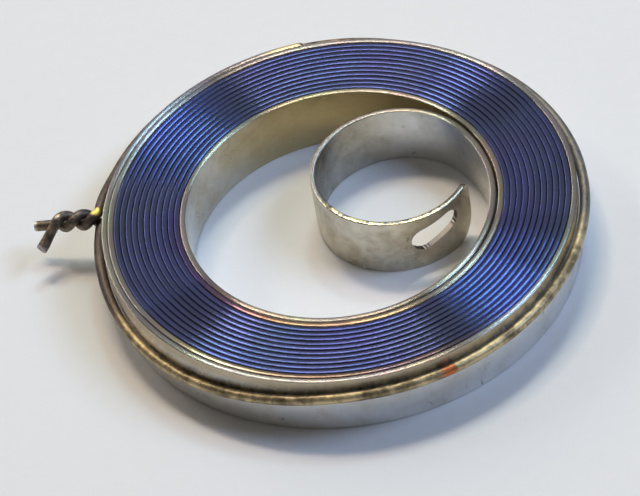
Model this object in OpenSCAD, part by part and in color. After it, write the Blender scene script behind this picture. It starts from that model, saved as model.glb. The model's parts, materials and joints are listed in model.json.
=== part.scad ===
// Clock mainspring: one flat steel strip wound into a coil that lies on its edges,
// with an open hook loop at its inner end, tied round the outside with one twisted wire.
// Millimetres, +Z up. The Z axis is the coil's axis, and the lower edges rest on Z = 0.

/* [Strip] */
// Width of the strip, which is the height of the coil
strip_w = 5.5; // [4:0.1:12]
// Thickness of the strip
strip_t = 0.46; // [0.3:0.01:0.8]
// How far the edges are broken along the whole strip
edge_r = 0.14; // [0.05:0.01:0.3]
// Rounding of the corners where the strip is cut off square
corner_r = 0.6; // [0.2:0.1:1.5]

/* [Coil] */
// Turns from the outer end to the place where the loop leaves the coil
coil_turns = 13.83; // [4:0.01:20]
// Radius of the innermost half turn, to the middle of the strip
coil_r = 12.6; // [10.5:0.1:20]
// Air between neighbouring turns
turn_gap = 0.035; // [0.02:0.005:0.3]
// Extra air that the innermost half turn opens up before the loop leaves
lead_gap = 0.2; // [0:0.05:0.6]
// Direction of the place where the loop leaves, from +X
leave_angle = 30; // [0:1:90]

/* [Inner loop] */
// Radius of the quarter bend that leads from the coil to the loop
lead_r = 6.8; // [6:0.1:9]
// Radius of the loop, to the middle of the strip
loop_r = 6.45; // [4.5:0.05:7]
// Angle of the loop, from the quarter bend to the strip's inner end
loop_sweep = 210; // [120:1:240]
// Rounding of the lower corner at the inner end
end_r = 2.5; // [0.5:0.1:3]

/* [Hook hole] */
// Length of the hole along the strip
hole_len = 4.4; // [3:0.1:6]
// Radius of its wide end
hole_wide_r = 1.1; // [0.6:0.05:1.3]
// Radius of its narrow end, the one nearer to the strip's end
hole_narrow_r = 0.95; // [0.5:0.05:1.1]
// Height of the wide end above the strip's middle line
hole_wide_rise = 0.3; // [-0.5:0.05:0.6]
// Height of the narrow end above the strip's middle line
hole_narrow_rise = 0.95; // [-0.5:0.05:1]
// Strip that is left between the hole and the strip's end
hole_land = 2; // [1:0.1:5]

/* [Binding wire] */
// Diameter of the wire
wire_d = 0.9; // [0.4:0.05:1.2]
// Air between the wire and the coil
wire_gap = 0.03; // [0.02:0.01:0.2]
// Depth of the wire's middle below the coil's upper edges
wire_depth = 1.35; // [0.7:0.05:2]
// How much lower the wire sags in one place
wire_sag = 1.1; // [0:0.1:1.5]
// Direction of that place, from +X
sag_angle = 210; // [0:1:360]
// Angle to each side over which the wire sags
sag_reach = 60; // [30:1:120]
// Angle over which the wire climbs onto the strip's outer end
climb_angle = 40; // [20:1:80]

/* [Twisted ends] */
// Direction in which the twist points, from +X
twist_angle = 166; // [150:1:260]
// Angle by which the twist droops
twist_droop = 6; // [0:1:20]
// Length of the twist
twist_len = 3.1; // [2.5:0.1:8]
// Turns that the two strands make round each other
twist_turns = 1; // [0.5:0.01:3]
// Air between the two strands
strand_gap = 0.03; // [0.02:0.01:0.1]
// Radius of the bends from the ring into the twist, and out of it
twist_bend_r = 0.75; // [0.6:0.05:2]
// Angle of the ring over which one strand rises and the other sinks, to pass each other
cross_angle = 14; // [8:1:40]
// Length of the strand that runs straight on after the twist
stub_len = 1.9; // [0.5:0.1:5]
// Length of the strand that is bent aside after the twist
hook_len = 2.6; // [0.5:0.1:5]
// Angle between that strand and the twist
hook_bend = 60; // [20:1:100]
// Angle by which that strand dips from the level
hook_dip = 32; // [0:1:60]

/* [Hidden] */
$fn = 180;

// One unit vector in plan, and one step that starts and ends gently
function dir(a) = [cos(a), sin(a)];
function ease(x) = let (t = max(0, min(1, x))) t * t * (3 - 2 * t);
function at(p, z) = [p.x, p.y, z];
function unit(v) = v / norm(v);

// The coil as a chain of half turns, counted outwards from the place where the loop leaves.
// Each is half a pitch larger than the one inside it and starts tangent to it, because the
// centres change places on the line through that place. That line is X while the strip is made.
half_pitch = round((strip_t + turn_gap) * 1000) / 2000;
coil_angle = 360 * coil_turns;
outer_angle = leave_angle - coil_angle;
halves = ceil(2 * coil_turns);
last_half = halves - 1;
function is_odd(i) = i % 2 == 1;
function half_r(i) = coil_r + (i == 0 ? 0 : lead_gap / 2 + i * half_pitch);
function half_x(i) = is_odd(i) ? half_pitch / 2 : i > 0 ? -half_pitch / 2 : -half_pitch / 2 - lead_gap / 2;
function half_start(i) = is_odd(i) ? 180 : 0;

// The bend and the loop go on inwards from the same place
lead_centre = [half_x(0) + coil_r - lead_r, 0];
loop_centre = lead_centre + [0, lead_r - loop_r];
loop_start = 90;
loop_end = loop_start + loop_sweep;

// Section of the strip, standing on its lower edge, with all four edges broken
edge = min(edge_r, strip_t * 0.45);
module strip_section() {
    x = strip_t / 2;
    polygon([[edge - x, 0], [x - edge, 0], [x, edge], [x, strip_w - edge],
        [x - edge, strip_w], [edge - x, strip_w], [-x, strip_w - edge], [-x, edge]]);
}

// A stretch of strip bent to one radius
module strip_arc(centre, r, from, sweep) {
    translate(centre) rotate(from) rotate_extrude(angle = sweep) translate([r, 0]) strip_section();
}

// Every second half turn has the same centre and the same ends, so one revolve makes them all
module half_turns(first) {
    translate([half_x(first), 0]) rotate(half_start(first)) rotate_extrude(angle = -180)
        for (i = [first : 2 : last_half - 1]) translate([half_r(i), 0]) strip_section();
}

// How deep a cut has to be to pass through a wall that curves away over a length
function through(r, length) = 2 * (r - sqrt(r * r - length * length) + strip_t);

// What is cut away to round a corner of the strip: X runs back from the strip's end. The
// rounding meets both edges at a slight angle, as one that is filed by hand.
corner_in = 0.97;
module corner_cut(r, depth) {
    rotate([90, 0, 0]) linear_extrude(depth, center = true) difference() {
        translate([-r, -r]) square(2 * r);
        translate(corner_in * [r, r]) circle(r);
    }
}

// Lower and upper corner of a strip's end that lies at angle a on radius r; side is -1 where
// the strip runs back clockwise, and 1 where it runs back counter-clockwise
module end_corners(centre, r, a, side, low_r, high_r) {
    translate(centre) rotate(a) translate([r, 0]) rotate(side * 90) {
        corner_cut(low_r, through(r, low_r));
        translate([0, 0, strip_w]) mirror([0, 0, 1]) corner_cut(high_r, through(r, high_r));
    }
}

// Pear-shaped hole: one outline round two ends of different radius, with tangents between them
hole_run = hole_len - hole_wide_r - hole_narrow_r;
hole_axis = [hole_run, hole_narrow_rise - hole_wide_rise];
hole_steps = 16;
module pear() {
    reach = norm(hole_axis);
    turn = acos((hole_wide_r - hole_narrow_r) / reach);
    rotate(atan2(hole_axis.y, hole_axis.x)) polygon(concat(
        [for (k = [0 : hole_steps]) hole_wide_r * dir(turn + (360 - 2 * turn) * k / hole_steps)],
        [for (k = [0 : hole_steps]) [reach, 0]
            + hole_narrow_r * dir(2 * turn * k / hole_steps - turn)]));
}

// The hole is punched straight through the loop's wall at the middle of the hole
hole_angle = loop_end - (hole_land + hole_len / 2) / (loop_r + strip_t / 2) * 180 / PI;
module hook_hole() {
    translate(loop_centre) rotate(hole_angle)
        translate([loop_r, 0, strip_w / 2 + hole_wide_rise])
            rotate([90, 0, 90]) translate([-hole_run / 2, 0])
                linear_extrude(through(loop_r, hole_len / 2), center = true) pear();
}

// The inner end: the loop with its hole and its rounded end, and the bend to the coil
module inner_end() {
    difference() {
        strip_arc(loop_centre, loop_r, loop_start, loop_sweep);
        end_corners(loop_centre, loop_r, loop_end, -1, end_r, corner_r);
        hook_hole();
    }
    strip_arc(lead_centre, lead_r, 0, 90);
}

// The outer end: what is left over of the last half turn
module outer_end() {
    centre = [half_x(last_half), 0];
    r = half_r(last_half);
    from = half_start(last_half);
    sweep = coil_angle - 180 * last_half;
    difference() {
        strip_arc(centre, r, from, -sweep);
        end_corners(centre, r, from - sweep, 1, corner_r, corner_r);
    }
}

// The whole strip, from the inner end to the outer end
module mainspring() {
    color("steelblue") rotate(leave_angle) {
        inner_end();
        strip_arc([half_x(0), 0], half_r(0), 0, -180);
        half_turns(1);
        half_turns(2);
        outer_end();
    }
}

// Path of the wire's middle line round the coil: the outermost half turn at each angle, a gap
// away, with a climb onto the strip's outer end
wire_r = wire_d / 2;
seat = strip_t / 2 + wire_gap + wire_r;
function past_end(a) = let (b = (a - outer_angle) % 360) b < 0 ? b + 360 : b;
function half_at(a) = min(last_half, floor((coil_angle - past_end(a)) / 180));
function wrap_r(a) = let (i = half_at(a)) half_r(i) + half_x(i) * cos(a - leave_angle);
function climb(a) = 2 * half_pitch * ease((past_end(a) - 360 + climb_angle) / climb_angle);
function wire_out(a) = wrap_r(a) + seat + climb(a);
function sag_off(a) = let (b = (a - sag_angle) % 360) b > 180 ? b - 360 : b < -180 ? b + 360 : b;
function sag(a) = abs(sag_off(a)) > sag_reach ? 0 : (1 + cos(180 * sag_off(a) / sag_reach)) / 2;
function wire_z(a) = strip_w - wire_depth - wire_sag * sag(a);
function ring_pt(a) = at(wire_out(a) * dir(a), wire_z(a));

// A bend that turns from one direction to another, as a fraction t of it
function bend_pt(p, r, d0, d1, t) = let (
        aside = unit(d1 - (d1 * d0) * d0), turn = t * acos(d1 * d0))
    p + r * (sin(turn) * d0 + (1 - cos(turn)) * aside);

// The twist's axis, and the two directions square to it
out_dir = dir(twist_angle);
run_dir = at(cos(twist_droop) * out_dir, -sin(twist_droop));
up_dir = at(sin(twist_droop) * out_dir, cos(twist_droop));
side_dir = at(dir(twist_angle + 90), 0);

// The strands cross right at the ring, the one from the back on top, and go on round each other
strand_r = wire_r + strand_gap / 2;
strand_rise = twist_len / (2 * PI * twist_turns);
strand_slope = atan2(strand_r, strand_rise);
cross_out = wire_out(twist_angle) + twist_bend_r * (1 - sin(strand_slope)) + 2 * strand_gap;
cross_at = at(cross_out * out_dir, wire_z(twist_angle));
function strand_pt(side, t) = let (turn = 360 * twist_turns * t)
    cross_at + t * twist_len * run_dir
        - side * strand_r * (sin(turn) * side_dir + cos(turn) * up_dir);
function strand_dir(side, t) = let (turn = 360 * twist_turns * t)
    unit(strand_rise * run_dir
        - side * strand_r * (cos(turn) * side_dir - sin(turn) * up_dir));

// Each strand comes out of the ring in a bend, and the ring rises or sinks towards it
bend_angle = atan2(twist_bend_r * cos(strand_slope), wire_out(twist_angle));
function join_pt(side, t) = bend_pt(strand_pt(side, 0), twist_bend_r, -strand_dir(side, 0),
    side * at(dir(twist_angle + side * bend_angle + 90), 0), t);
function lift(side, off) = ease(1 - (off - bend_angle) / cross_angle)
    * (join_pt(side, 1) - ring_pt(twist_angle + side * bend_angle));
function tied_pt(a) = ring_pt(a)
    + lift(1, a - twist_angle) + lift(-1, twist_angle + 360 - a);

// After the twist one strand runs straight on, and the other is bent aside and dips
hook_dir = cos(hook_bend) * run_dir
    + sin(hook_bend) * (cos(hook_dip) * side_dir - sin(hook_dip) * up_dir);
function tail_pt(side, d1, t) =
    bend_pt(strand_pt(side, 1), twist_bend_r, strand_dir(side, 1), d1, t);

// The wire's whole path, from the straight strand's end round the coil to the bent one's
ring_steps = 76;
bend_steps = 6;
twist_steps = 22;
ring_sweep = 360 - 2 * bend_angle;
wire_path = concat(
    [tail_pt(1, run_dir, 1) + stub_len * run_dir],
    [for (k = [bend_steps : -1 : 1]) tail_pt(1, run_dir, k / bend_steps)],
    [for (k = [twist_steps : -1 : 0]) strand_pt(1, k / twist_steps)],
    [for (k = [1 : bend_steps - 1]) join_pt(1, k / bend_steps)],
    [for (k = [0 : ring_steps]) tied_pt(twist_angle + bend_angle + ring_sweep * k / ring_steps)],
    [for (k = [bend_steps - 1 : -1 : 1]) join_pt(-1, k / bend_steps)],
    [for (k = [0 : twist_steps]) strand_pt(-1, k / twist_steps)],
    [for (k = [1 : bend_steps]) tail_pt(-1, hook_dir, k / bend_steps)],
    [tail_pt(-1, hook_dir, 1) + hook_len * hook_dir]);

// A round bar swept along a path of points; its rings stand square to the path
wire_sides = 8;
module swept_bar(path, r, sides) {
    last = len(path) - 1;
    points = [for (k = [0 : last]) let (
            along = unit(path[min(k + 1, last)] - path[max(k - 1, 0)]),
            across = unit(cross(along, [0, 0, 1])),
            up = cross(across, along))
        for (s = [0 : sides - 1]) let (a = 360 * s / sides)
            path[k] + r * (cos(a) * across + sin(a) * up)];
    walls = [for (k = [0 : last - 1], s = [0 : sides - 1]) let (n = (s + 1) % sides)
        [k * sides + s, k * sides + n, (k + 1) * sides + n, (k + 1) * sides + s]];
    first_cap = [for (s = [sides - 1 : -1 : 0]) s];
    last_cap = [for (s = [0 : sides - 1]) last * sides + s];
    polyhedron(points, concat(walls, [first_cap, last_cap]));
}

module binding_wire() {
    color("saddlebrown") swept_bar(wire_path, wire_r, wire_sides);
}

mainspring();
binding_wire();
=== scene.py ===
# Clock mainspring: a blued steel strip wound on edge, with a hook loop inside and a twisted
# iron wire round it. Metres, in the frame of the solids: +Z is the coil's axis, Z = 0 the floor.
import json
import math
import bpy
from mathutils import Matrix, Vector

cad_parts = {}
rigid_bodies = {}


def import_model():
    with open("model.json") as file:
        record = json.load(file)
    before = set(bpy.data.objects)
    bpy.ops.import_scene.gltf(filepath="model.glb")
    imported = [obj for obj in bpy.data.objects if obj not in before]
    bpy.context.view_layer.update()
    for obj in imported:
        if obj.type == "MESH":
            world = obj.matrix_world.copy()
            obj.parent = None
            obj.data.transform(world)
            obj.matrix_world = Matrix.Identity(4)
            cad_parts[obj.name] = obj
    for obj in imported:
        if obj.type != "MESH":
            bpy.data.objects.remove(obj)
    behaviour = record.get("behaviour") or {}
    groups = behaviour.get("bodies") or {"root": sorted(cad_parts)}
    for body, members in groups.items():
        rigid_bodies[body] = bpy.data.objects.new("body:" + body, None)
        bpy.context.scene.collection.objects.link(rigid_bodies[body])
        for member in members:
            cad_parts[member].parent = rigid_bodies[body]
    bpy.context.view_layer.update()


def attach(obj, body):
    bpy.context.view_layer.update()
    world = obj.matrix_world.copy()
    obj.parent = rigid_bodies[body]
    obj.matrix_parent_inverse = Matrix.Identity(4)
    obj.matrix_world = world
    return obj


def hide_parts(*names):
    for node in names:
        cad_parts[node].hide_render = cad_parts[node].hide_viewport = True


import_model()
scene = bpy.context.scene
MM = 0.001
RAD = math.pi / 180
FAR = 1.0

# Sizes of the strip, in millimetres and degrees, as the solids have them
STRIP_W, STRIP_T = 5.5, 0.46
HALF_PITCH = 0.2475
COIL_R, LEAD_GAP, COIL_TURNS, LEAVE = 12.6, 0.2, 13.83, 30.0
LEAD_R, LEAD_SWEEP, LOOP_R, LOOP_SWEEP = 6.8, 90.0, 6.45, 210.0
END_R, CORNER_R = 2.5, 0.6
HOLE_LEN, HOLE_WIDE_R, HOLE_NARROW_R, HOLE_LAND = 4.4, 1.1, 0.95, 2.0
HOLE_WIDE_RISE, HOLE_NARROW_RISE = 0.3, 0.95
COIL_ANGLE = 360 * COIL_TURNS
LEAD_X = -HALF_PITCH / 2 - LEAD_GAP / 2 + COIL_R - LEAD_R
LOOP_Y = LEAD_R - LOOP_R

# What the finished strip adds: domed edges, turns drawn closer, an uneven height, a ragged hole
EDGE_DOME, SNUG, UNEVEN = 0.08, 0.022, 0.07
RAGGED_COARSE, RAGGED_FINE = 0.012, 0.01
PUNCH_IN, PUNCH_OUT, PUNCH_STEPS = 1.2, 1.0, 36

# Sizes of the wire; its bar is a little thinner than the solid's
WIRE_R, SOLID_WIRE_R, WIRE_GAP, WIRE_DEPTH = 0.445, 0.45, 0.03, 1.35
WIRE_SEAT = STRIP_T / 2 + WIRE_GAP + SOLID_WIRE_R
SAG, SAG_AT, SAG_REACH, CLIMB = 1.1, 210.0, 60.0, 40.0
TWIST_AT, TWIST_DROOP, TWIST_LEN, TWIST_TURNS = 166.0, 6.0, 3.1, 1.0
STRAND_R, STRAND_GAP, BEND_R, CROSS_ANGLE = 0.465, 0.03, 0.75, 14.0
STUB_LEN, HOOK_LEN, HOOK_BEND, HOOK_DIP = 1.88, 2.50, 60.0, 32.0
DENTS, PINCH, PINCH_LEN, CUT_SLANT, CUT_LEN = 0.03, 0.08, 1.2, 0.3, 0.25
STUB_STEPS, HOOK_STEPS, BEND_STEPS, TWIST_STEPS, RING_STEPS = 6, 8, 8, 48, 360


class Value:
    """The output of a node, which plain arithmetic turns into further nodes."""

    def __init__(self, wiring, socket):
        self.wiring, self.socket = wiring, socket

    def maths(self, operation, *others):
        inputs = dict(enumerate((self,) + others))
        return self.wiring.add("ShaderNodeMath", inputs, operation=operation)

    def after(self, operation, first):
        return self.wiring.add("ShaderNodeMath", {0: first, 1: self}, operation=operation)

    def __add__(self, other): return self.maths("ADD", other)
    def __radd__(self, other): return self.after("ADD", other)
    def __sub__(self, other): return self.maths("SUBTRACT", other)
    def __rsub__(self, other): return self.after("SUBTRACT", other)
    def __mul__(self, other): return self.maths("MULTIPLY", other)
    def __truediv__(self, other): return self.maths("DIVIDE", other)
    def __mod__(self, other): return self.maths("FLOORED_MODULO", other)
    def __lt__(self, other): return self.maths("LESS_THAN", other)
    def __gt__(self, other): return self.maths("GREATER_THAN", other)
    def __neg__(self): return self.maths("MULTIPLY", -1.0)
    def __abs__(self): return self.maths("ABSOLUTE")

    def pick(self, yes, no):
        """yes where this is 1, no where it is 0."""
        return no + self * (yes - no)

    def steps(self, low, high):
        """0 below low, 1 above high, smooth between them; low may lie above high."""
        inputs = {"Value": self, "From Min": low, "From Max": high}
        return self.wiring.add("ShaderNodeMapRange", inputs, interpolation_type="SMOOTHSTEP")


class Wiring:
    """Adds the nodes of one tree."""

    def __init__(self, tree):
        self.tree = tree

    def add(self, kind, inputs=None, out=0, stops=None, **settings):
        node = self.tree.nodes.new(kind)
        for name, value in settings.items():
            setattr(node, name, value)
        if stops:
            ramp = node.color_ramp.elements
            while len(ramp) < len(stops):
                ramp.new(0.5)
            for element, (place, colour) in zip(ramp, stops):
                element.position, element.color = place, (*colour, 1)
        for key, value in (inputs or {}).items():
            socket = node.inputs[key]
            if isinstance(value, Value):
                self.tree.links.new(value.socket, socket)
            else:
                socket.default_value = value
        return node if out is None else Value(self, node.outputs[out])

    def split(self, vector):
        node = self.add("ShaderNodeSeparateXYZ", {0: vector}, out=None)
        return [Value(self, o) for o in node.outputs]

    def vector(self, x, y, z):
        return self.add("ShaderNodeCombineXYZ", {"X": x, "Y": y, "Z": z})

    def blend(self, factor, a, b, mode="MIX"):
        """Colour a where the factor is 0, colour b where it is 1. The node's inputs 6 and 7 and
        its output 2 are the ones for colours."""
        return self.add("ShaderNodeMix", {"Factor": factor, 6: a, 7: b}, out=2,
                        data_type="RGBA", blend_type=mode)

    def noise(self, place, scale, detail=2.0, roughness=0.5, out=0):
        return self.add("ShaderNodeTexNoise", {"Vector": place, "Scale": scale, "Detail": detail,
                                               "Roughness": roughness}, out=out)


# Geometry

class Former(Wiring):
    """A geometry tree with named inputs for its sizes."""

    def __init__(self, name, sizes):
        super().__init__(bpy.data.node_groups.new(name, "GeometryNodeTree"))
        face = self.tree.interface
        face.new_socket("Geometry", in_out="INPUT", socket_type="NodeSocketGeometry")
        self.sizes, self.ids = sizes, {}
        for key, value in sizes.items():
            kind = "NodeSocketInt" if isinstance(value, int) else "NodeSocketFloat"
            self.ids[key] = face.new_socket(key, in_out="INPUT", socket_type=kind).identifier
        face.new_socket("Geometry", in_out="OUTPUT", socket_type="NodeSocketGeometry")
        self.entry = self.tree.nodes.new("NodeGroupInput")

    def size(self, key):
        return Value(self, self.entry.outputs[key])

    def keep(self, geometry, name, value, domain="POINT"):
        """Stores a value by name, on the points or on the faces."""
        inputs = {"Geometry": geometry, "Name": name, "Value": value}
        return self.add("GeometryNodeStoreNamedAttribute", inputs,
                        data_type="FLOAT", domain=domain)

    def kept(self, name):
        """A value that was stored by name."""
        return self.add("GeometryNodeInputNamedAttribute", {"Name": name}, data_type="FLOAT")

    def smooth(self, geometry, crease):
        """Smooth shading, but for the edges that bend by more than the crease, in degrees."""
        sharp = self.add("GeometryNodeInputMeshEdgeAngle") > crease * RAD
        geometry = self.add("GeometryNodeSetShadeSmooth", {
            "Geometry": geometry, "Shade Smooth": True})
        return self.add("GeometryNodeSetShadeSmooth", {
            "Geometry": geometry, "Selection": sharp, "Shade Smooth": False}, domain="EDGE")

    def finish(self, geometry, material):
        done = self.add("GeometryNodeRealizeInstances", {"Geometry": geometry})
        done = self.add("GeometryNodeSetMaterial", {"Geometry": done, "Material": material})
        end = self.tree.nodes.new("NodeGroupOutput")
        self.tree.links.new(done.socket, end.inputs[0])

    def form(self, name, start=None, more=()):
        """The tree's result as one plain mesh object; more modifiers may follow the tree."""
        mesh = start or bpy.data.meshes.new(name + "_start")
        piece = bpy.data.objects.new(name, mesh)
        scene.collection.objects.link(piece)
        modifier = piece.modifiers.new("form", "NODES")
        modifier.node_group = self.tree
        for key, value in self.sizes.items():
            modifier[self.ids[key]] = value
        for kind, settings in more:
            extra = piece.modifiers.new(kind.lower(), kind)
            for key, value in settings.items():
                setattr(extra, key, value)
        graph = bpy.context.evaluated_depsgraph_get()
        made = bpy.data.meshes.new_from_object(piece.evaluated_get(graph), depsgraph=graph)
        piece.modifiers.clear()
        piece.data = made
        made.name = name
        bpy.data.meshes.remove(mesh)
        return piece


def strip_form(material):
    """The strip, swept from its inner end outwards. Every bend turns the same way, so one angle
    counts along the whole strip, and each stretch only changes the centre and the radius."""
    f = Former("wound strip", {
        "Stations": 2300, "Profile Points": 32, "End Stations": 14,
        "Strip Width": STRIP_W * MM, "Strip Thickness": (STRIP_T + SNUG) * MM,
        "Edge Dome": EDGE_DOME * MM, "Unevenness": UNEVEN * MM,
        "Coil Radius": COIL_R * MM, "Half Pitch": HALF_PITCH * MM, "Coil Angle": COIL_ANGLE,
        "Lead Gap": LEAD_GAP * MM, "Lead Radius": LEAD_R * MM, "Leave Angle": LEAVE,
        "Loop Radius": LOOP_R * MM, "Loop Sweep": LOOP_SWEEP,
        "End Rounding": END_R * MM, "Corner Rounding": CORNER_R * MM})
    width, thick, dome = f.size("Strip Width"), f.size("Strip Thickness"), f.size("Edge Dome")
    sweep, coil_r, pitch2 = f.size("Loop Sweep"), f.size("Coil Radius"), f.size("Half Pitch")
    lead_r, loop_r, gap = f.size("Lead Radius"), f.size("Loop Radius"), f.size("Lead Gap")
    end_r, corner_r = f.size("End Rounding"), f.size("Corner Rounding")
    stations, ends = f.size("Stations"), f.size("End Stations")
    coil_angle, leave = f.size("Coil Angle"), f.size("Leave Angle") * RAD

    # Angle at each station: close together where the two ends are rounded, even between
    index = f.add("GeometryNodeInputIndex")
    whole = sweep + LEAD_SWEEP + coil_angle
    outer_r = coil_r + gap / 2 + (coil_angle / 180).maths("FLOOR") * pitch2
    first, final = end_r / loop_r / RAD, corner_r / outer_r / RAD
    back = stations - 1 - index
    start_wind = first * (1 - (index / ends * (90 * RAD)).maths("COSINE"))
    end_wind = whole - final * (1 - (back / ends * (90 * RAD)).maths("COSINE"))
    even_wind = first + (index - ends) / (stations - 1 - ends * 2) * (whole - first - final)
    wind = (index < ends).pick(start_wind, (back < ends).pick(end_wind, even_wind))

    # Which stretch it is, with its centre and radius; the nudge puts a station that lies right
    # between two half turns into the later one
    nudge = 0.00001
    in_loop, in_lead = wind < sweep, wind < sweep + LEAD_SWEEP
    half = ((wind - sweep - LEAD_SWEEP) / 180 + nudge).maths("FLOOR").maths("MAXIMUM", 0.0)
    inmost, odd = half < 0.5, half % 2
    half_r = coil_r + inmost.pick(0.0, gap / 2 + half * pitch2)
    half_x = odd.pick(pitch2 / 2, pitch2 / -2 - inmost * gap / 2)
    lead_x = coil_r - pitch2 / 2 - gap / 2 - lead_r
    radius = in_loop.pick(loop_r, in_lead.pick(lead_r, half_r))
    centre_x = in_lead.pick(lead_x, half_x)
    centre_y = in_loop * (lead_r - loop_r)
    turn = (sweep + LEAD_SWEEP - wind) * RAD
    x, y = centre_x + radius * turn.maths("COSINE"), centre_y + radius * turn.maths("SINE")
    cos_l, sin_l = leave.maths("COSINE"), leave.maths("SINE")
    line = f.add("GeometryNodeMeshLine", {"Count": stations})
    line = f.add("GeometryNodeSetPosition", {"Geometry": line, "Position": f.vector(
        x * cos_l - y * sin_l, x * sin_l + y * cos_l, 0.0)})
    line = f.keep(line, "wind", wind)
    line = f.keep(line, "from_inner", in_lead.pick(wind * RAD * loop_r, FAR))
    line = f.keep(line, "from_outer", (whole - wind) * RAD * outer_r)
    path = f.add("GeometryNodeMeshToCurve", {"Mesh": line})
    path = f.add("GeometryNodeSetCurveNormal", {"Curve": path}, mode="Z_UP")

    # Section: a flattened circle pulled apart into a strip with domed edges. The points nearest
    # to its middle stop a little short of the domes and keep the walls flat
    tiny, near_middle, wall_end = 0.0001, 0.21, 0.9
    ring = f.add("GeometryNodeCurvePrimitiveCircle", {
        "Resolution": f.size("Profile Points"), "Radius": 1.0})
    c, s, _ = f.split(f.add("GeometryNodeInputPosition"))
    c, s = c * (abs(c) > tiny), s * (abs(s) > tiny)
    support = (abs(s) < near_middle).pick(wall_end, 1.0)
    across = c * thick / 2
    rise = s.maths("SIGN") * (width / 2 - dome) * support + dome * s
    ring = f.keep(ring, "crown", abs(s))
    ring = f.add("GeometryNodeSetPosition", {
        "Geometry": ring, "Position": f.vector(across, rise, 0.0)})
    strip = f.add("GeometryNodeCurveToMesh", {
        "Curve": path, "Profile Curve": ring, "Fill Caps": True})

    # Rounded ends, and edges that don't lie quite level from turn to turn
    px, py, pz = f.split(f.add("GeometryNodeInputPosition"))
    along, inner, outer = f.kept("wind"), f.kept("from_inner"), f.kept("from_outer")

    def rounded(distance, r):
        short = (r - distance).maths("MAXIMUM", 0.0)
        return r - (r * r - short * short).maths("MAXIMUM", 0.0).maths("SQRT")

    wander_span, wander_seed, crease = 150, 3.7, 50
    level = pz / width + 0.5
    low = rounded(inner, end_r) + rounded(outer, corner_r)
    high = rounded(inner, corner_r) + rounded(outer, corner_r)
    wander = f.noise(f.vector(along / wander_span, wander_seed, 0.0), 1.0, 3.0)
    high = high + wander * f.size("Unevenness")
    strip = f.add("GeometryNodeSetPosition", {"Geometry": strip, "Position": f.vector(
        px, py, low + level * (width - low - high))})
    strip = f.keep(strip, "skin", 1.0, domain="FACE")
    f.finish(f.smooth(strip, crease), material)
    return f


def hole_punch():
    """A pear-shaped bar through the loop's wall, a little ragged all round."""
    run = HOLE_LEN - HOLE_WIDE_R - HOLE_NARROW_R
    axis = Vector((run, HOLE_NARROW_RISE - HOLE_WIDE_RISE))
    tilt, reach = math.atan2(axis.y, axis.x), axis.length
    turn = math.acos((HOLE_WIDE_R - HOLE_NARROW_R) / reach)
    outline = []
    for k in range(PUNCH_STEPS + 1):
        a = turn + (2 * math.pi - 2 * turn) * k / PUNCH_STEPS
        outline.append((HOLE_WIDE_R * math.cos(a), HOLE_WIDE_R * math.sin(a)))
    for k in range(PUNCH_STEPS + 1):
        a = -turn + 2 * turn * k / PUNCH_STEPS
        outline.append((reach + HOLE_NARROW_R * math.cos(a), HOLE_NARROW_R * math.sin(a)))
    loop_end = (LEAD_SWEEP + LOOP_SWEEP + LEAVE) * RAD
    mid = loop_end - (HOLE_LAND + HOLE_LEN / 2) / (LOOP_R + STRIP_T / 2)
    out = Vector((math.cos(mid), math.sin(mid), 0))
    along = Vector((-math.sin(mid), math.cos(mid), 0))
    lead = Matrix.Rotation(LEAVE * RAD, 3, "Z") @ Vector((LEAD_X, LOOP_Y, 0))
    base = lead + Vector((0, 0, STRIP_W / 2 + HOLE_WIDE_RISE))
    points = []
    for depth in (LOOP_R - PUNCH_IN, LOOP_R + PUNCH_OUT):
        for k, (px, py) in enumerate(outline):
            ragged = (1 + RAGGED_COARSE * math.sin(k * 1.7)
                      + RAGGED_FINE * math.sin(k * 3.1 + 1))
            qx, qy = px * ragged, py * ragged
            rx = qx * math.cos(tilt) - qy * math.sin(tilt) - run / 2
            ry = qx * math.sin(tilt) + qy * math.cos(tilt)
            points.append((base + depth * out + rx * along + Vector((0, 0, ry))) * MM)
    n = len(outline)
    faces = [(k, (k + 1) % n, n + (k + 1) % n, n + k) for k in range(n)]
    faces += [tuple(range(n))[::-1], tuple(range(n, 2 * n))]
    mesh = bpy.data.meshes.new("hole_punch")
    mesh.from_pydata(points, [], faces)
    mesh.update()
    punch = bpy.data.objects.new("hole_punch", mesh)
    scene.collection.objects.link(punch)
    return punch


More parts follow.
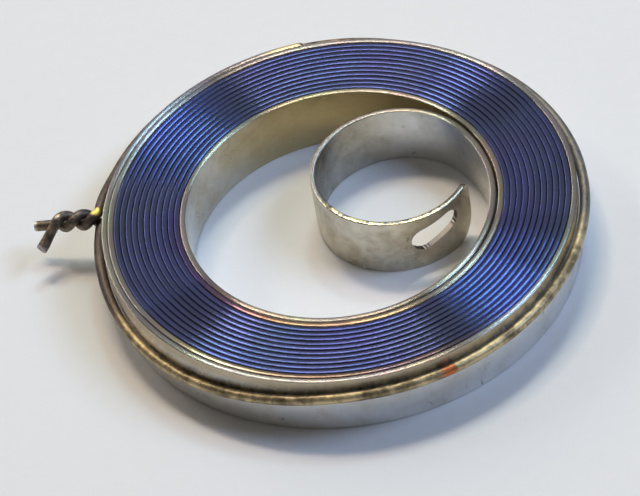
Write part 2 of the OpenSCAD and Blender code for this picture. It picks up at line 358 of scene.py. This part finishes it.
def wire_route():
    """The middle of the wire, from the straight strand's end round to the bent one's, and the
    way that the bent strand points."""
    half_last = math.ceil(2 * COIL_TURNS) - 1
    outer_angle = LEAVE - COIL_ANGLE

    def ease(t):
        t = max(0.0, min(1.0, t))
        return t * t * (3 - 2 * t)

    def heading(a):
        return Vector((math.cos(a * RAD), math.sin(a * RAD), 0))

    def past_end(a):
        return (a - outer_angle) % 360

    def out_at(a):
        i = min(half_last, math.floor((COIL_ANGLE - past_end(a)) / 180))
        middle = HALF_PITCH / 2 * (1 if i % 2 else -1) * math.cos((a - LEAVE) * RAD)
        climb = 2 * HALF_PITCH * ease((past_end(a) - 360 + CLIMB) / CLIMB)
        return COIL_R + LEAD_GAP / 2 + i * HALF_PITCH + middle + WIRE_SEAT + climb

    def height(a):
        off = (a - SAG_AT + 180) % 360 - 180
        sag = 0 if abs(off) > SAG_REACH else (1 + math.cos(math.pi * off / SAG_REACH)) / 2
        return STRIP_W - WIRE_DEPTH - SAG * sag

    def ring(a):
        return out_at(a) * heading(a) + Vector((0, 0, height(a)))

    def bend(start, d0, d1, t):
        aside, turn = (d1 - d1.dot(d0) * d0).normalized(), t * math.acos(d1.dot(d0))
        return start + BEND_R * (math.sin(turn) * d0 + (1 - math.cos(turn)) * aside)

    # The strands cross right at the ring and go on round each other
    droop, dip = TWIST_DROOP * RAD, HOOK_DIP * RAD
    out, side = heading(TWIST_AT), heading(TWIST_AT + 90)
    run = math.cos(droop) * out - Vector((0, 0, math.sin(droop)))
    up = math.sin(droop) * out + Vector((0, 0, math.cos(droop)))
    rise = TWIST_LEN / (2 * math.pi * TWIST_TURNS)
    slope = math.atan2(STRAND_R, rise)
    cross = (out_at(TWIST_AT) + BEND_R * (1 - math.sin(slope)) + 2 * STRAND_GAP) * out
    cross.z = height(TWIST_AT)

    def strand(which, t):
        turn = 2 * math.pi * TWIST_TURNS * t
        off = math.sin(turn) * side + math.cos(turn) * up
        return cross + t * TWIST_LEN * run - which * STRAND_R * off

    def strand_way(which, t):
        turn = 2 * math.pi * TWIST_TURNS * t
        swing = math.cos(turn) * side - math.sin(turn) * up
        return (rise * run - which * STRAND_R * swing).normalized()

    # Each comes out of the ring in a bend, and the ring rises or sinks towards it
    reach = math.atan2(BEND_R * math.cos(slope), out_at(TWIST_AT)) / RAD

    def join(which, t):
        along = which * heading(TWIST_AT + which * reach + 90)
        return bend(strand(which, 0), -strand_way(which, 0), along, t)

    def lift(which, off):
        apart = join(which, 1) - ring(TWIST_AT + which * reach)
        return ease(1 - (off - reach) / CROSS_ANGLE) * apart

    def tail(which, way, t):
        return bend(strand(which, 1), strand_way(which, 1), way, t)

    hook = (math.cos(HOOK_BEND * RAD) * run
            + math.sin(HOOK_BEND * RAD) * (math.cos(dip) * side - math.sin(dip) * up))
    route = [tail(1, run, 1) + run * (STUB_LEN * k / STUB_STEPS)
             for k in range(STUB_STEPS, 0, -1)]
    route += [tail(1, run, k / BEND_STEPS) for k in range(BEND_STEPS, 0, -1)]
    route += [strand(1, k / TWIST_STEPS) for k in range(TWIST_STEPS, -1, -1)]
    route += [join(1, k / BEND_STEPS) for k in range(1, BEND_STEPS)]
    for k in range(RING_STEPS + 1):
        off = reach + (360 - 2 * reach) * k / RING_STEPS
        route.append(ring(TWIST_AT + off) + lift(1, off) + lift(-1, 360 - off))
    route += [join(-1, k / BEND_STEPS) for k in range(BEND_STEPS - 1, 0, -1)]
    route += [strand(-1, k / TWIST_STEPS) for k in range(TWIST_STEPS + 1)]
    route += [tail(-1, hook, k / BEND_STEPS) for k in range(1, BEND_STEPS + 1)]
    route += [tail(-1, hook, 1) + hook * (HOOK_LEN * k / HOOK_STEPS)
              for k in range(1, HOOK_STEPS + 1)]
    mesh = bpy.data.meshes.new("wire_route")
    mesh.from_pydata([p * MM for p in route], [(k, k + 1) for k in range(len(route) - 1)], [])
    return mesh, hook


def wire_form(material, hook):
    """A round bar swept along the route, a little dented, as a wire is that was bent by hand. The
    bent strand's end is pinched and cut at a slant, as pliers leave it."""
    f = Former("binding wire", {
        "Wire Radius": WIRE_R * MM, "Profile Points": 18, "Dents": DENTS * MM,
        "Pinch": PINCH * MM, "Pinch Length": PINCH_LEN * MM,
        "Cut Slant": CUT_SLANT * MM, "Cut Length": CUT_LEN * MM})
    dent_scale, crease = 700.0, 60
    path = f.add("GeometryNodeMeshToCurve", {"Mesh": f.size("Geometry")})
    length = f.add("GeometryNodeSplineParameter", out=1)
    path = f.keep(path, "left", f.add("GeometryNodeSplineLength") - length)
    path = f.keep(path, "run", length)
    ring = f.add("GeometryNodeCurvePrimitiveCircle", {
        "Resolution": f.size("Profile Points"), "Radius": f.size("Wire Radius")})
    bar = f.add("GeometryNodeCurveToMesh", {
        "Curve": path, "Profile Curve": ring, "Fill Caps": True})
    place = f.add("GeometryNodeInputPosition")
    dent = f.noise(place, dent_scale, 3.0) * f.size("Dents") * -1
    nx, ny, nz = f.split(f.add("GeometryNodeInputNormal"))
    left = f.kept("left")
    pinch = (1 - left / f.size("Pinch Length")).maths("MAXIMUM", 0.0) * f.size("Pinch")
    slant = (1 - left / f.size("Cut Length")).maths("MAXIMUM", 0.0) * f.size("Cut Slant") * -nz
    bar = f.add("GeometryNodeSetPosition", {"Geometry": bar, "Offset": f.vector(
        nx * (dent + pinch) + slant * hook.x, ny * (dent + pinch) + slant * hook.y,
        nz * (dent - pinch) + slant * hook.z)})
    f.finish(f.smooth(bar, crease), material)
    return f


# Finishes

class Finish(Wiring):
    """A material with one main shader."""

    def __init__(self, name):
        self.material = bpy.data.materials.new(name)
        self.material.use_nodes = True
        super().__init__(self.material.node_tree)
        self.tree.nodes.clear()
        self.place = self.add("ShaderNodeTexCoord", out="Object")

    def named(self, name):
        return self.add("ShaderNodeAttribute", attribute_name=name, out="Fac")

    def done(self, **sockets):
        inputs = {name.replace("_", " "): value for name, value in sockets.items()}
        shader = self.add("ShaderNodeBsdfPrincipled", inputs)
        end = self.tree.nodes.new("ShaderNodeOutputMaterial")
        self.tree.links.new(shader.socket, end.inputs["Surface"])
        return self.material


def spring_steel():
    """Polished strip. Its edges are blued, but for the two ends, where the temper colours run
    out to bare steel."""
    m = Finish("spring_steel")
    blue = (0.0325, 0.048, 0.152)
    streak_dark, streak_light = (0.66, 0.66, 0.70, 1), (1.22, 1.20, 1.14, 1)
    bright, dull = (0.84, 0.83, 0.80, 1), (0.70, 0.67, 0.61, 1)
    loop_tone, tarnish_tone = (0.74, 0.71, 0.63, 1), (0.78, 0.75, 0.70, 1)
    hook_brown, pit_brown = (0.34, 0.29, 0.24, 1), (0.16, 0.14, 0.12, 1)
    straw_tone, rim_tone = (0.58, 0.48, 0.27, 1), (0.50, 0.41, 0.27, 1)
    loop_grey, glint_gold = (0.22, 0.215, 0.21, 1), (0.95, 0.80, 0.46, 1)
    tip_glint_copper, cut_grey = (0.60, 0.47, 0.30, 1), (0.22, 0.20, 0.18, 1)

    # Degrees along the coil from its inner start and from the strip's outer end, a little uneven
    drift_span, inner_bare, inner_fade, outer_bare, outer_fade = 60, 440, 200, 470, 110
    crown, wind = m.named("crown"), m.named("wind")
    coil = wind - (LOOP_SWEEP + LEAD_SWEEP)
    stain = m.noise(m.place, 260.0, 4.0, 0.6)
    fine = m.noise(m.place, 2200.0, 3.0, 0.6)
    drift = (stain - 0.5) * drift_span
    inner_end, outer_end = coil + drift, COIL_ANGLE - coil + drift

    # Blued edges, with clouds and streaks along the strip
    cloud_share, streak_span = 0.35, 45
    temper = m.add("ShaderNodeValToRGB", {"Fac": (inner_end - inner_bare) / inner_fade}, stops=[
        (0.0, (0.23, 0.225, 0.21)), (0.18, (0.28, 0.225, 0.15)), (0.36, (0.16, 0.10, 0.09)),
        (0.52, (0.062, 0.044, 0.13)), (0.72, blue)])
    temper_out = m.add("ShaderNodeValToRGB", {"Fac": (outer_end - outer_bare) / outer_fade}, stops=[
        (0.0, (0.225, 0.23, 0.245)), (0.25, (0.25, 0.22, 0.18)), (0.5, (0.14, 0.105, 0.085)),
        (0.75, (0.055, 0.05, 0.085)), (1.0, blue)])
    blued = m.blend(coil > COIL_ANGLE / 2, temper, temper_out)
    cloud = m.noise(m.place, 150.0, 3.0, 0.6, out="Color")
    blued = m.blend(cloud_share, blued, cloud, "OVERLAY")
    streak = m.noise(m.vector(wind / streak_span, 0.0, 0.0), 1.0, 3.0, 0.6).steps(0.25, 0.75)
    blued = m.blend(1.0, blued, m.blend(streak, streak_dark, streak_light), "MULTIPLY")

    # Faces: stained and pitted, tarnished on the loop, straw-coloured at the back of the bore,
    # golden at the upper rim of the outermost turn
    face = m.blend(stain.steps(0.35, 0.70), bright, dull)
    loop = wind.steps(LOOP_SWEEP + 60, LOOP_SWEEP)
    face = m.blend(loop, face, loop_tone, "MULTIPLY")
    tarnish = m.noise(m.place, 700.0, 4.0, 0.65).steps(0.40, 0.68)
    face = m.blend(tarnish * loop, face, tarnish_tone, "MULTIPLY")
    hook_end = m.named("from_inner").steps(4.5 * MM, 0.8 * MM)
    face = m.blend(hook_end * 0.6, face, hook_brown)
    pits = m.noise(m.place, 1500.0, 3.0, 0.65).steps(0.66, 0.72)
    face = m.blend(pits * 0.6, face, pit_brown)
    straw = inner_end.steps(215, 290) * (1 - inner_end.steps(400, 480))
    face = m.blend(straw, face, straw_tone)
    rim = m.split(m.place)[2].steps(4.2 * MM, 5.0 * MM) * outer_end.steps(430, 370)
    face = m.blend(rim * 0.85, face, rim_tone)

    # Edges and faces together; walls between packed turns are finished as the edges are
    packed = inner_end.steps(440, 520) * outer_end.steps(420, 480)
    edge = crown.steps(0.3, 0.6).maths("MAXIMUM", packed)
    colour = m.blend(edge, face, blued)
    loop_edge = edge * wind.steps(LOOP_SWEEP + 60, LOOP_SWEEP + 20)
    # Painted glints: the stretch and the speckle below place gold sparkles of light on the front of
    # the loop's edge
    glint_stretch = wind.steps(15, 40) * wind.steps(135, 105)
    glint_speckle = m.noise(m.place, 2900.0, 2.0).steps(0.38, 0.56)
    colour = m.blend(loop_edge, colour, loop_grey)
    colour = m.blend(loop_edge * glint_stretch * glint_speckle, colour, glint_gold)
    # Painted glint: a copper tone on the edges of the strip's outer end
    tip_glint = m.named("from_outer").steps(4.5 * MM, 1.0 * MM)
    colour = m.blend(tip_glint * edge, colour, tip_glint_copper)
    cut = 1 - m.named("skin")
    colour = m.blend(cut, colour, cut_grey)
    edge_rough, face_rough = packed.pick(0.17, 0.23), 0.10 + stain * 0.26
    rough = edge.pick(edge_rough, face_rough) + (fine - 0.5) * 0.1 + cut * 0.25
    bump = m.add("ShaderNodeBump", {"Strength": 0.12, "Distance": 0.02 * MM, "Height": fine})
    return m.done(Base_Color=colour, Metallic=1.0, Roughness=rough, Normal=bump, Anisotropic=1.0,
                  Anisotropic_Rotation=0.25, Coat_Weight=edge * 0.3, Coat_Roughness=0.5)


def iron_wire():
    """Annealed iron wire, dark brown and rusted in places, with a painted warm sheen in front and
    painted glints on the twist.
    """
    m = Finish("iron_wire")
    left_dark, left_light = (0.045, 0.036, 0.036, 1), (0.12, 0.095, 0.09, 1)
    right_dark, right_light = (0.11, 0.11, 0.11, 1), (0.26, 0.255, 0.245, 1)
    sheen_dark, sheen_light = (0.20, 0.15, 0.08, 1), (0.74, 0.59, 0.33, 1)
    rust, crossing_glint, bend_highlight = (0.62, 0.17, 0.05, 1), (0.95, 0.70, 0.16, 1), (0.56, 0.46, 0.32, 1)
    stub_cut, hook_cut = (0.70, 0.66, 0.60, 1), (0.30, 0.25, 0.24, 1)
    cut_from, cut_to = 0.3 * MM, 0.1 * MM
    patch = m.noise(m.place, 420.0, 4.0, 0.6)
    mottle = m.noise(m.place, 1500.0, 4.0, 0.65)
    fine = m.noise(m.place, 2600.0, 3.0, 0.6)
    dark = m.add("ShaderNodeValToRGB", {"Fac": patch * 0.4 + mottle * 0.6}, stops=[
        (0.36, (0.06, 0.05, 0.045)), (0.47, (0.13, 0.105, 0.085)), (0.55, (0.23, 0.175, 0.12)),
        (0.64, (0.46, 0.32, 0.19))])

    def spot(middle, near, far):
        """1 within the nearer distance of a place, 0 beyond the farther one, ragged between."""
        away = m.add("ShaderNodeVectorMath", {0: m.place, 1: [v * MM for v in middle]},
                     operation="DISTANCE", out=1)
        return (away + (patch - 0.5) * MM).steps(far * MM, near * MM)

    # Darker on the left of the ring, grey on the right, and golden in front, where a warm sheen of
    # light is painted
    x, y, _ = m.split(m.place)
    sheen_front = (y + (mottle - 0.5) * (6 * MM)).steps(-4 * MM, -9 * MM)
    right = x.steps(12 * MM, 18 * MM)
    left = x.steps(-15.5 * MM, -18 * MM) * x.steps(-21.6 * MM, -20.6 * MM)
    dark = m.blend(left * 0.8, dark, m.blend(mottle, left_dark, left_light))
    dark = m.blend(right * 0.75, dark, m.blend(mottle, right_dark, right_light))
    gold_sheen = m.blend((patch * 0.6 + mottle * 0.4).steps(0.40, 0.60), sheen_dark, sheen_light)
    colour = m.blend(sheen_front * 0.9, dark, gold_sheen)

    # One rust spot, a painted glint where the strands cross, a painted highlight on the hook
    # strand's bend, and the two cut ends
    colour = m.blend(spot((5.9, -19.2, 4.1), 0.2, 0.9), colour, rust)
    colour = m.blend(spot((-19.75, 4.95, 4.75), 0.15, 0.5), colour, crossing_glint)
    colour = m.blend(spot((-22.9, 5.5, 4.3), 0.05, 0.35), colour, bend_highlight)
    colour = m.blend(m.named("run").steps(cut_from, cut_to), colour, stub_cut)
    colour = m.blend(m.named("left").steps(cut_from, cut_to), colour, hook_cut)
    bump = m.add("ShaderNodeBump", {
        "Strength": 0.6, "Distance": 0.06 * MM, "Height": fine + mottle * 2})
    return m.done(Base_Color=colour, Metallic=0.7, Roughness=0.26 + mottle * 0.36, Normal=bump)


def pale_paper():
    m = Finish("pale_paper")
    fibre = m.noise(m.place, 900.0, 3.0)
    colour = m.blend(fibre, (0.87, 0.87, 0.865, 1), (0.90, 0.90, 0.895, 1))
    return m.done(Base_Color=colour, Roughness=0.9)


# Pieces

punch = hole_punch()
spring = strip_form(spring_steel()).form("mainspring", more=[
    ("BOOLEAN", {"operation": "DIFFERENCE", "object": punch, "solver": "EXACT"})])
bpy.data.objects.remove(punch)
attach(spring, "root")
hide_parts("mainspring")

route, hook_way = wire_route()
wire = wire_form(iron_wire(), hook_way).form("binding_wire", start=route)
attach(wire, "root")
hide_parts("binding_wire")

# Stage, light and camera

floor_mesh = bpy.data.meshes.new("floor")
floor_mesh.from_pydata([(-1, -1, 0), (1, -1, 0), (1, 1, 0), (-1, 1, 0)], [], [(0, 1, 2, 3)])
floor_mesh.materials.append(pale_paper())
floor = bpy.data.objects.new("floor", floor_mesh)
scene.collection.objects.link(floor)

ELEVATION = 0.79632
LAMP_DISTANCE = 1.2
WARM, WARM_EDGE, WARM_SIDE = (1.0, 0.86, 0.66), (1.0, 0.88, 0.74), (1.0, 0.90, 0.80)
COOL, COOL_SIDE = (0.57, 0.87, 0.95), (0.44, 0.59, 0.90)


def panel(name, bearing, near, far, spread, strength, colour):
    """A soft panel above the spring. Bearings, and how far out it reaches, are counted in plan
    from the way that a level mirror would send the camera's view, so a panel lights the edges
    along the turns at that bearing."""
    def way(b, reach):
        x, y = reach * math.cos(b * RAD), math.cos(ELEVATION) + reach * math.sin(b * RAD)
        return Vector((x, y, math.sqrt(1 - x * x - y * y))) * LAMP_DISTANCE

    half_way = (near + far) / 2
    middle = way(bearing, half_way)
    long_side = way(bearing, far) - way(bearing, near)
    short_side = way(bearing + spread / 2, half_way) - way(bearing - spread / 2, half_way)
    lamp = bpy.data.lights.new(name, "AREA")
    lamp.shape, lamp.size, lamp.size_y = "RECTANGLE", short_side.length, long_side.length
    lamp.energy, lamp.color = strength * math.pi * lamp.size * lamp.size_y, colour
    back = middle.normalized()
    up = (long_side - long_side.dot(back) * back).normalized()
    turned = Matrix((up.cross(back), up, back)).transposed()
    obj = bpy.data.objects.new(name, lamp)
    scene.collection.objects.link(obj)
    obj.matrix_world = Matrix.Translation(middle) @ turned.to_4x4()


for k, bearing in enumerate((243, 257, 271, 284)):
    panel("window_%d" % k, bearing, 0.25, 0.36, 14, 24.0, WARM)
panel("window_edge", 228, 0.21, 0.34, 13, 35.0, WARM_EDGE)
panel("sky", 316, 0.22, 0.36, 18, 24.0, COOL)
panel("sky_edge", 330, 0.24, 0.36, 12, 10.0, COOL)
panel("sky_side", 311, 0.92, 1.14, 24, 10.6, COOL_SIDE)
panel("side", 184, 0.50, 0.58, 36, 8.0, WARM_SIDE)

# A dim room, with a soft glow where a level mirror would send the camera's view
DIM, GLOW = (0.075, 0.072, 0.072, 1), (0.62, 0.57, 0.52, 1)
world = bpy.data.worlds.new("room")
scene.world = world
world.use_nodes = True
room = Wiring(world.node_tree)
glow_way = (0.0, math.cos(ELEVATION), math.sin(ELEVATION))
around = room.add("ShaderNodeTexCoord", out="Generated")
toward = room.add("ShaderNodeVectorMath", {0: around, 1: glow_way},
                  operation="DOT_PRODUCT", out=1)
glow = room.blend(toward.steps(0.70, 0.97), DIM, GLOW)
world.node_tree.links.new(glow.socket, world.node_tree.nodes["Background"].inputs["Color"])

# The camera looks down at 45.6 degrees, tilted, with the coil's middle a little off the picture's
LENS_PX, PICTURE, MIDDLE = 4414.88, (640, 496), (339.617, 202.884)
ROLL, DISTANCE, SENSOR = -0.18619, 356.8 * MM, 36.0
right, down = Vector((1, 0, 0)), Vector((0, -math.sin(ELEVATION), -math.cos(ELEVATION)))
ahead = Vector((0, math.cos(ELEVATION), -math.sin(ELEVATION)))
cos_r, sin_r = math.cos(ROLL), math.sin(ROLL)
right, down = cos_r * right - sin_r * down, sin_r * right + cos_r * down
off_x, off_y = [(m - p / 2) / LENS_PX for m, p in zip(MIDDLE, PICTURE)]
ray = (off_x * right + off_y * down + ahead).normalized()
eye = Vector((0, 0, STRIP_W * MM)) - ray * DISTANCE
shot = bpy.data.cameras.new("camera")
shot.sensor_width, shot.sensor_fit = SENSOR, "HORIZONTAL"
shot.lens = LENS_PX / PICTURE[0] * SENSOR
shot.clip_start, shot.clip_end = 0.01, 10.0
camera = bpy.data.objects.new("camera", shot)
scene.collection.objects.link(camera)
turned = Matrix((right, -down, -ahead)).transposed()
camera.matrix_world = Matrix.Translation(eye) @ turned.to_4x4()
scene.camera = camera

scene.view_settings.view_transform = "Standard"
